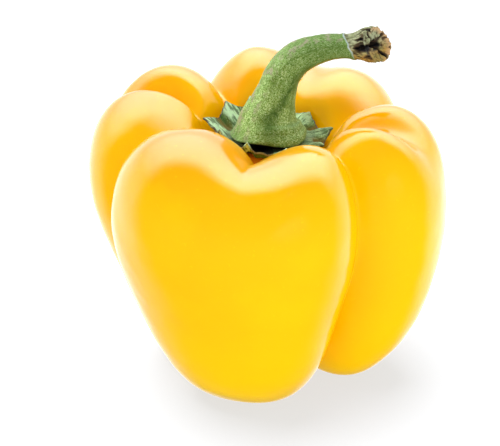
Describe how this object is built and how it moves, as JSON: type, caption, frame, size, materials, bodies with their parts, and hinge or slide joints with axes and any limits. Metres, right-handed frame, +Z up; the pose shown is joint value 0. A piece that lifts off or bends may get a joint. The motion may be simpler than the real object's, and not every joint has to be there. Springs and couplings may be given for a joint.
{
  "type": "bell pepper",
  "caption": "Whole yellow bell pepper standing on its lobe tips, with a toothed green calyx in its hollow and a bent green stem.",
  "frame": {"origin": "on the surface that the pepper stands on, under the middle of its box", "axes": "+Z up, out of the hollow; -Y the front, a broad lobe; +X right, the side that the stem bends to"},
  "size_m": [0.0882, 0.0914, 0.0906],
  "materials": {
    "fruit_skin": "glossy waxy skin",
    "calyx_skin": "matte wrinkled leaf",
    "stem_skin": "matte fine-grained stalk"
  },
  "bodies": {
    "root": {"fruit": "fruit_skin", "calyx": "calyx_skin", "stem": "stem_skin"}
  },
  "joints": []
}
